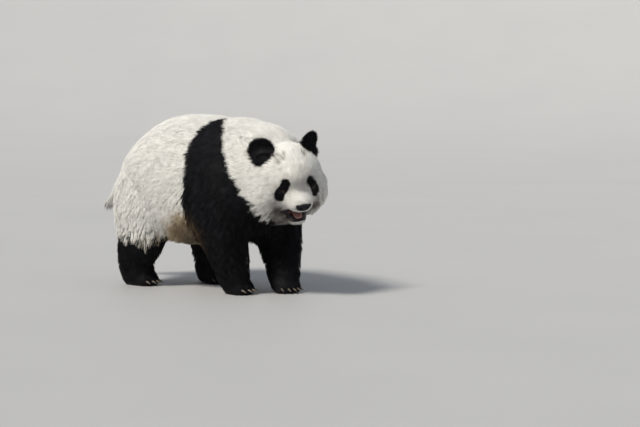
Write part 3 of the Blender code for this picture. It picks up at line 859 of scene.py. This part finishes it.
for side in SIDES:
    look, across, upward = look_of(side)
    ball = bmesh.new()
    bmesh.ops.create_uvsphere(ball, u_segments=48, v_segments=48, radius=1)
    eye_mesh = bpy.data.meshes.new("eyeball_" + side)
    ball.to_mesh(eye_mesh)
    ball.free()
    sphere = corners(eye_mesh)
    angle = np.arccos(np.clip(sphere[:, 2], -1, 1))
    reach = EYE_RADIUS + CORNEA_BULGE * step(CORNEA_EDGE, math.radians(8), angle)
    axes = np.array([across, np.cross(look, across), look])
    eye_mesh.vertices.foreach_set("co", (eye_middle[side] + (sphere * reach[:, None]) @ axes).ravel())
    eye_colours = towards(BALL_BROWN, IRIS_RIM, step(IRIS_EDGE, IRIS_EDGE - RIM_WIDE, angle))
    iris = step(IRIS_EDGE - RIM_WIDE, IRIS_EDGE - 0.20, angle)
    eye_colours = towards(eye_colours, IRIS_BROWN, iris)
    pupil = np.hypot(sphere[:, 0] * EYE_RADIUS / PUPIL_WIDE, sphere[:, 1] * EYE_RADIUS / PUPIL_HIGH)
    pupil = np.where(angle < 1, step(1.25, 0.9, pupil), 0)
    add_pigment(eye_mesh, towards(eye_colours, PUPIL_BLACK, pupil))
    eye_mesh.shade_smooth()
    eye_glass.cover(eye_mesh)
    eyeball = add_object("eyeball_" + side, eye_mesh)
    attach(eyeball, "root")
    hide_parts("eye_" + side)


# NOSE. The bare pad at the muzzle's end, of black leather with a pebbled grain. It is cast in one with
# its two nostrils and the groove between them, and is set in the muzzle like a plug.

NOSE_CELL = 0.0010
NOSE_ROUNDS = 14
NOSTRIL_APART = 0.0155
NOSTRIL_SIZE = (0.0062, 0.0040)
NOSTRIL_DEPTH = 0.0065
NOSTRIL_DROP = 0.002
NOSTRIL_TILT = (0.85, 0.5)
GROOVE_DEPTH = 0.0014
GROOVE_HALF = 0.0011
PEBBLE = 0.0016
NOSE_BLACKS = ((0.005, 0.005, 0.007), (0.012, 0.011, 0.014))
# The nostrils' dents are painted nearly black, a painted shade deeper than the leather.
NOSTRIL_PAINTED_SHADE = (0.002, 0.002, 0.002)
NOSE_SPREAD = (1.11, 0.94)
NOSE_DROP = 0.003


def weld(piece):
    """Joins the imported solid's corners, which every face has for itself."""
    piece.modifiers.new("Weld", "WELD").merge_threshold = 1e-5


nose_pad = add_object("nose_pad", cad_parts["nose"].data.copy())
weld(nose_pad)
nose_mesh = made_whole(nose_pad, NOSE_CELL, NOSE_ROUNDS)
nose_points = corners(nose_mesh)
forward, left, up = in_head(nose_points)
wider, higher = NOSE_SPREAD
up = NOSE_IN_HEAD[1] + (up - NOSE_DROP - NOSE_IN_HEAD[1]) * higher
nose_points = on_head(forward, left * wider, up)
forward, left, up = in_head(nose_points)
ahead = forward - NOSE_IN_HEAD[0]
above = up - NOSE_IN_HEAD[1]
front = step(0.004, 0.012, ahead)
dent = np.zeros(len(nose_points))
for side in SIDES.values():
    outward = left * side - NOSTRIL_APART
    upward = above + NOSTRIL_DROP
    slant = outward * NOSTRIL_TILT[0] + upward * NOSTRIL_TILT[1]
    rise = upward * NOSTRIL_TILT[0] - outward * NOSTRIL_TILT[1]
    off = np.hypot(slant / NOSTRIL_SIZE[0], rise / NOSTRIL_SIZE[1])
    dent += NOSTRIL_DEPTH * step(1.3, 0.35, off)
groove = GROOVE_DEPTH * np.exp(-((left / GROOVE_HALF) ** 2)) * step(0.004, -0.004, above)
nose_points -= normals_of(nose_mesh) * (front * (dent + groove))[:, None]
nose_mesh.vertices.foreach_set("co", nose_points.ravel())
nose_tree = BVHTree.FromPolygons(nose_points, [face.vertices for face in nose_mesh.polygons])
add_share(nose_mesh, "nostril", np.clip(dent / NOSTRIL_DEPTH, 0, 1) * front)
nose_mesh.shade_smooth()

leather = Finish("leather", Specular_IOR_Level=0.20, Coat_Weight=0.06, Coat_Roughness=0.30)
wire = leather.wire
cells = {"Vector": wire.places(), "Scale": 1 / PEBBLE}
pebbles = wire.node("ShaderNodeTexVoronoi", {}, cells, "Distance")
leather_colour = wire.noise(0.010, 3.0).mix(*map(rgba, NOSE_BLACKS))
# Painted shade in the nostrils' dents.
leather.set(Base_Color=wire.read("nostril").mix(leather_colour, rgba(NOSTRIL_PAINTED_SHADE)))
leather.set(Roughness=0.34 + 0.25 * pebbles)
leather.bump(1 - pebbles, 0.0003, 0.6)
leather.cover(nose_mesh)
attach(nose_pad, "root")
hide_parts("nose")


# TONGUE. Wet pink flesh with a furrow down its middle and its tip curled down a little. It is cast on its
# own and lies on the lower jaw behind the lip.

TONGUE_DROP = 0.0045
TONGUE_FURROW = 0.0012
FURROW_HALF = 0.003
TONGUE_CURL = 0.0035
CURL_REACH = 0.022
TONGUE_PINKS = ((0.30, 0.135, 0.125), (0.44, 0.235, 0.215))


def round_off(piece, levels):
    """Smooths a solid's facets without changing its mesh."""
    weld(piece)
    finer = piece.modifiers.new("Rounder", "SUBSURF")
    finer.levels = finer.render_levels = levels


tongue = add_object("tongue_flesh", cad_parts["tongue"].data.copy())
round_off(tongue, 3)
tongue_mesh = applied(tongue)
tongue_points = corners(tongue_mesh)
forward, left, up = in_head(tongue_points)
on_top = normals_of(tongue_mesh) @ head_axes @ (0, 0, 1) > 0
furrow = TONGUE_FURROW * np.exp(-((left / FURROW_HALF) ** 2)) * on_top
tongue_tip = forward.max()
curl = TONGUE_CURL * (step(tongue_tip - CURL_REACH, tongue_tip, forward) - (left / CURL_REACH) ** 2)
tongue_points -= (head_axes @ at(0, 0, 1)) * (TONGUE_DROP + furrow + curl)[:, None]
tongue_mesh.vertices.foreach_set("co", tongue_points.ravel())
tongue_mesh.shade_smooth()

flesh_pink = Finish("flesh_pink", Specular_IOR_Level=0.5, Coat_Weight=0.4, Coat_Roughness=0.15)
wire = flesh_pink.wire
flesh_pink.set(Base_Color=wire.noise(0.006, 3.0).mix(*map(rgba, TONGUE_PINKS)))
flesh_pink.set(Roughness=0.30 + 0.25 * wire.noise(0.002, 2.0))
flesh_pink.bump(wire.noise(0.0010, 3.0), 0.0005, 0.7)
flesh_pink.cover(tongue_mesh)
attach(tongue, "root")
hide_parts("tongue")


# CLAWS. Five on every foot, of horn mottled from dark grey brown to a paler brown. Each is seated in the
# end of its toe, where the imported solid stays, rounded and given its finish.

HORN_BROWNS = ((0.035, 0.028, 0.023), (0.17, 0.14, 0.105))

horn = Finish("horn", Specular_IOR_Level=0.5)
wire = horn.wire
grain = wire.noise(0.004, 4.0, Distortion=1.5)
horn.set(Base_Color=grain.mix(*map(rgba, HORN_BROWNS)))
horn.set(Roughness=0.32 + 0.2 * wire.noise(0.002, 2.0))
horn.bump(grain, 0.0004, 0.6)
for name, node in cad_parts.items():
    if name.startswith("claw"):
        round_off(node, 1)
        node.data.shade_smooth()
        horn.cover(node.data)


# COAT. Hair, dense, coarse and a little oily, so that neighbours lean together into locks. It is made as
# tapered tufts, each a thin closed solid that leaves the skin at a slant and lies down along the body.

TUFTS_TO_A_LOCK = 22
BURIED = 0.002
BARELY_BURIED = 0.0006
SLIMNESS = 0.42
SHORT_FUR = ("lower_jaw", *EARS, *PAWS)
FACE_REACH = 0.105
EYE_SURROUND = 0.070
LID_HAIR = 0.0045
BARE_LIDS = 1.42
HEM_HEIGHT = 0.245
HEM_HALF = 0.035
FLANK_HEM = 0.27
# The ruff is behind, outside and below this place on the head.
RUFF_START = (0.085, 0.092, -0.060)
RUFF_LENGTH = 0.030
GROUND_GAP = 0.001
# A spike has three corners round its root, at these angles, and one at its tip. A lock has the three
# round its middle, one at its tip and one at its root. Their painted shades are of the same corners:
# painted shade darkens the roots and a painted highlight lightens the tips.
SECTION = [math.radians(90), math.radians(210), math.radians(330)]
SPIKE_FACES = np.array([[0, 1, 2], [0, 3, 1], [1, 3, 2], [2, 3, 0]])
LOCK_FACES = np.array([[4, 0, 1], [4, 1, 2], [4, 2, 0], [0, 3, 1], [1, 3, 2], [2, 3, 0]])
SPIKE_PAINTED_SHADES = np.array([0.84, 0.84, 0.84, 1.04])
LOCK_PAINTED_SHADES = np.array([0.97, 0.97, 0.97, 1.03, 0.82])
BAKE_PATCH = 0.003
CM2_IN_M2 = 1e4

LIE_ROUNDS = 22
EAR_FOOT = (0, 0.020, 0.050)

chance = np.random.default_rng(11)


def lie_of_coat():
    """The way the hair lies at every point of the skin, before it is evened out.

    It lies backwards and down on the body, more steeply low down and on the rump, down the legs, forwards
    on the feet, and away from the nose and from the ears' roots.
    """
    forward, _, up = in_body(cad_skin_points)
    flow = at(-0.85, 0, -0.35 - 0.75 * step(0.60, 0.25, up) - 0.8 * step(-0.40, -0.65, forward))
    flow[part_in(skin_parts, *FORELEGS, *HINDLEGS)] = at(-0.30, 0, -1)
    flow[part_in(skin_parts, *PAWS)] = at(0.9, 0, -0.35)
    flow[part_in(skin_parts, "tail")] = at(-0.25, 0, -1)
    face = part_in(skin_parts, "head", "lower_jaw")
    away = unit(cad_skin_points[face] - on_head(0.150, 0, -0.015))
    cheek = step(0.02, 0.10, np.abs(in_head(cad_skin_points[face])[1]))[:, None]
    flow[face] = away + cheek * at(-0.15, 0, -0.75)
    for name, side in SIDES.items():
        ear = part_in(skin_parts, "ear_" + name)
        flow[ear] = unit(cad_skin_points[ear] - on_side(np.subtract(EAR_PLACE, EAR_FOOT), side))
    return flow


lie = lie_of_coat()
upright = np.where(part_in(skin_parts, *EARS), np.clip((lie * outwards).sum(axis=1), 0, 1), 0)
lie = unit(spread(lie, LIE_ROUNDS))
lie = unit(lie - outwards * (lie * outwards).sum(axis=1, keepdims=True))

# Hair grows shorter and closer together round the eyes, and not at all under the nose's pad.
near_lid = LID_HAIR + 0.30 * np.maximum(near_eye - 0.013, 0)
hair_length = np.minimum(coat_values[:, 1], near_lid)
growth = coat_values[:, 3] * (skin_bare < 0.5) * (opening > BARE_LIDS)
growth *= 1 + step(0.065, 0.030, near_eye)
in_nose = []
for point in skin_points:
    place, facing, _, _ = nose_tree.find_nearest(Vector(point), 0.02)
    in_nose.append(place is not None and (Vector(point) - place).dot(facing) < -0.0003)
growth = growth * ~np.array(in_nose)

skin_mesh.calc_loop_triangles()
triangles = listed(skin_mesh.loop_triangles, "vertices", 3, int)
a, b, c = (skin_points[triangles[:, k]] for k in range(3))
area = np.linalg.norm(np.cross(b - a, c - a), axis=1) / 2
rank = np.cumsum(area * CM2_IN_M2 * growth[triangles].mean(axis=1))
TUFTS = int(rank[-1])
picks = (np.arange(TUFTS) + chance.uniform(size=TUFTS)) / TUFTS * rank[-1]
chosen = triangles[np.minimum(np.searchsorted(rank, picks), len(rank) - 1)]
weights = chance.dirichlet((1, 1, 1), TUFTS)


def over(values):
    """A value of the skin's vertices at the root of every tuft."""
    return (values[chosen] * weights.reshape(TUFTS, 3, *(1,) * (values.ndim - 1))).sum(axis=1)


root = over(skin_points)
outer = over(cad_skin_points)
facing = unit(over(outwards))
along = unit(over(lie))
depth = over(coat_depth)
length = over(hair_length)
width = over(coat_values[:, 2])
part = skin_parts[chosen[np.arange(TUFTS), weights.argmax(axis=1)]]

# Fringes: long locks hang from the flank, the cheeks and over the black of the hind legs.
body_forward, body_left, body_up = in_body(outer)
head_forward, head_left, head_up = in_head(outer)
spiky = part_in(part, *SHORT_FUR) | (part_in(part, "head") & (from_muzzle(outer) < FACE_REACH))
fringe = part_in(part, *HINDLEGS) & (np.abs(body_up - HEM_HEIGHT) < HEM_HALF)
fringe |= part_in(part, "trunk") & (body_up < FLANK_HEM) & (facing[:, 2] < 0.3)
ruff = part_in(part, "head") & (head_forward < RUFF_START[0])
ruff &= (np.abs(head_left) > RUFF_START[1]) & (head_up < RUFF_START[2])
fringe |= ruff
spiky &= ~ruff
length[ruff] = RUFF_LENGTH
low_flank = step(0.58, 0.30, body_up)
swirl = (0.13 + 0.10 * low_flank) * ripple(outer, 0.085, 21) + 0.13 * chance.normal(size=TUFTS)
swirl[spiky] *= 0.6
sideways = unit(np.cross(along, facing))
along = unit(along * np.cos(swirl)[:, None] + sideways * np.sin(swirl)[:, None])

# Locks: each tuft leans towards the leader nearest to it, and shares in its length, height and shade.
grid = KDTree(TUFTS // TUFTS_TO_A_LOCK)
leaders = chance.choice(TUFTS, TUFTS // TUFTS_TO_A_LOCK, replace=False)
for number, leader in enumerate(leaders):
    grid.insert(root[leader], number)
grid.balance()
leader_of = leaders[[grid.find(place)[1] for place in root]]
lock_size = chance.normal(size=TUFTS)[leader_of]
length *= chance.uniform(0.75, 1.15, TUFTS) * np.clip(1 + 0.08 * lock_size, 0.8, 1.25)
ankles = part_in(part, *FORELEGS, *HINDLEGS)
length[ankles] *= 0.42 + 0.58 * step(0.070, 0.23, body_up[ankles])
length[fringe] *= np.clip(1.25 + 0.28 * lock_size[fringe], 0.9, 1.9)
lock_height = np.clip(1 + (0.05 + 0.07 * low_flank) * chance.normal(size=TUFTS)[leader_of], 0.7, 1.25)
height = depth * chance.uniform(0.86, 1.08, TUFTS) * np.where(spiky, 1.0, lock_height)
height = np.maximum(height, length * over(upright) * 0.95)
flat = np.sqrt(np.maximum(length**2 - height**2, (0.25 * length) ** 2))
tip = root + along * flat[:, None] + facing * height[:, None]
middle = root + along * (0.45 * flat)[:, None] + facing * (0.70 * height)[:, None]
hold = np.where(spiky, 0.08, 0.18 + 0.16 * low_flank)
hold[fringe] = 0.60
hold[distance(root, root[leader_of]) > 1.2 * length] = 0
hold = hold[:, None]
tip += (tip[leader_of] - tip) * hold
middle += (middle[leader_of] - middle) * hold * 0.45

# A tuft's colour is that of one place: near its root in short fur and round the eyes, else further along
# and at the coat's surface.
by_root = spiky | (over(near_eye) < EYE_SURROUND)
seen = np.where(by_root[:, None], root, outer)
seen += along * (np.where(by_root, 0.2, 0.5) * flat * ~fringe)[:, None]
raggedness = np.where(spiky, 0.0008, np.where(part_in(part, *HINDLEGS), 0.014, 0.0018))
raggedness[ruff] = 0.006
is_black = blackness(seen, part) + raggedness * chance.normal(size=TUFTS) > 0
uneven = 0.010 * chance.normal(size=(TUFTS, 3))[leader_of] + 0.006 * chance.normal(size=(TUFTS, 3))
tint = hair_colours(seen + uneven * ~spiky[:, None], is_black)
lightness = chance.uniform(0.90, 1.08, TUFTS)
lightness *= np.clip(1 + 0.06 * chance.normal(size=TUFTS), 0.8, 1.2)[leader_of]
lightness[is_black] **= 4


def hair_finish(name, least, change, roughness, **values):
    """A finish for tufts: their pigment made uneven, and a fine grain."""
    finish = Finish(name, **values)
    wire = finish.wire
    finish.tint(least + change * wire.noise(0.006, 3.0))
    finish.set(Roughness=roughness + 0.2 * wire.noise(0.010, 2.0))
    finish.bump(wire.noise(0.0008, 2.0), 0.0003, 0.3)
    return finish


soft_white = hair_finish("soft_white", 0.94, 0.10, 0.55, Specular_IOR_Level=0.25)
soft_white.set(Sheen_Weight=0.25, Sheen_Roughness=0.5)
soft_black = hair_finish("soft_black", 0.80, 0.40, 0.50, Specular_IOR_Level=0.06)


def add_coat(name, tufts, finish):
    """Builds one piece of the coat from these tufts: all spikes, or all locks."""
    short = spiky[tufts[0]]
    tuft_faces, painted_shades = (SPIKE_FACES, SPIKE_PAINTED_SHADES) if short else (LOCK_FACES, LOCK_PAINTED_SHADES)
    count, size = len(tufts), len(painted_shades)
    out = facing[tufts]
    across = sideways[tufts]
    half = width[tufts][:, None] / 2
    points = np.empty((count, size, 3))
    normals = np.empty((count, size, 3))
    foot = root[tufts] - out * (BARELY_BURIED if short else BURIED)
    for k, angle in enumerate(SECTION):
        wide = across * math.cos(angle)
        high = out * math.sin(angle)
        points[:, k] = (foot if short else middle[tufts]) + (wide + high * SLIMNESS) * half
        normals[:, k] = 0.72 * out + 0.28 * (wide + high)
    points[:, 3] = tip[tufts]
    normals[:, 3] = out
    if not short:
        points[:, 4] = foot
        normals[:, 4] = out
    points[:, :, 2] = np.maximum(points[:, :, 2], GROUND_GAP)
    # Each corner takes the tuft's colour, with painted shade at the root and a painted highlight at the
    # tip.
    colours = tint[tufts][:, None] * (lightness[tufts][:, None] * painted_shades)[:, :, None]
    faces = (np.arange(count)[:, None, None] * size + tuft_faces).reshape(-1)
    mesh = bpy.data.meshes.new(name)
    mesh.vertices.add(count * size)
    mesh.vertices.foreach_set("co", points.ravel())
    mesh.loops.add(len(faces))
    mesh.loops.foreach_set("vertex_index", faces)
    mesh.polygons.add(len(faces) // 3)
    mesh.polygons.foreach_set("loop_start", np.arange(0, len(faces), 3))
    mesh.update(calc_edges=True)
    mesh.shade_smooth()
    mesh.normals_split_custom_set_from_vertices(unit(normals.reshape(-1, 3)))
    add_pigment(mesh, colours.reshape(-1, 3))
    # In the map, each tuft has a small patch, placed by its direction from the piece's middle.
    globe = unit((root[tufts] - root[tufts].mean(axis=0)) / np.ptp(root[tufts], axis=0))
    place = np.column_stack([np.arctan2(globe[:, 0], -globe[:, 1]), np.arcsin(globe[:, 2])])
    place = (place - place.min(axis=0)) / np.ptp(place, axis=0) * (1 - 2 * BAKE_PATCH) + BAKE_PATCH
    turn = np.arange(size) * 2 * math.pi / size
    patch = np.column_stack([np.cos(turn), np.sin(turn)]) * BAKE_PATCH / 2
    bake = (place[:, None] + patch).reshape(-1, 2)
    layer = mesh.uv_layers.new(name="OFBake")
    layer.data.foreach_set("uv", bake[faces].ravel())
    finish.cover(mesh)
    piece = add_object(name, mesh)
    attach(piece, "root")


region = np.full(TUFTS, "shoulders", dtype="U16")
region[body_forward < -0.05] = "loins"
region[body_forward < -0.36] = "rump"
region[part_in(part, "neck")] = "neck"
region[part_in(part, "head")] = "crown"
region[part_in(part, "head") & spiky] = "face"
region[part_in(part, "lower_jaw")] = "jaw"
region[part_in(part, "tail")] = "tail"
region[part_in(part, *EARS)] = "ear"
for kind in ("foreleg", "hindleg", "forepaw", "hindpaw"):
    region[part_in(part, kind + "_left", kind + "_right")] = kind
sideways_of = np.where(np.isin(region, ["crown", "face", "ear"]), head_left, body_left)
sides = np.where(np.isin(region, ["jaw", "tail"]), "", np.where(sideways_of < 0, "_right", "_left"))
endings = np.where(is_black, "_black", "_white")
labels = np.char.add(np.char.add("fur_", region), np.char.add(sides, endings))
for label in sorted(set(labels)):
    black = label.endswith("black")
    finish = soft_black if black else soft_white
    add_coat(label, np.flatnonzero(labels == label), finish)
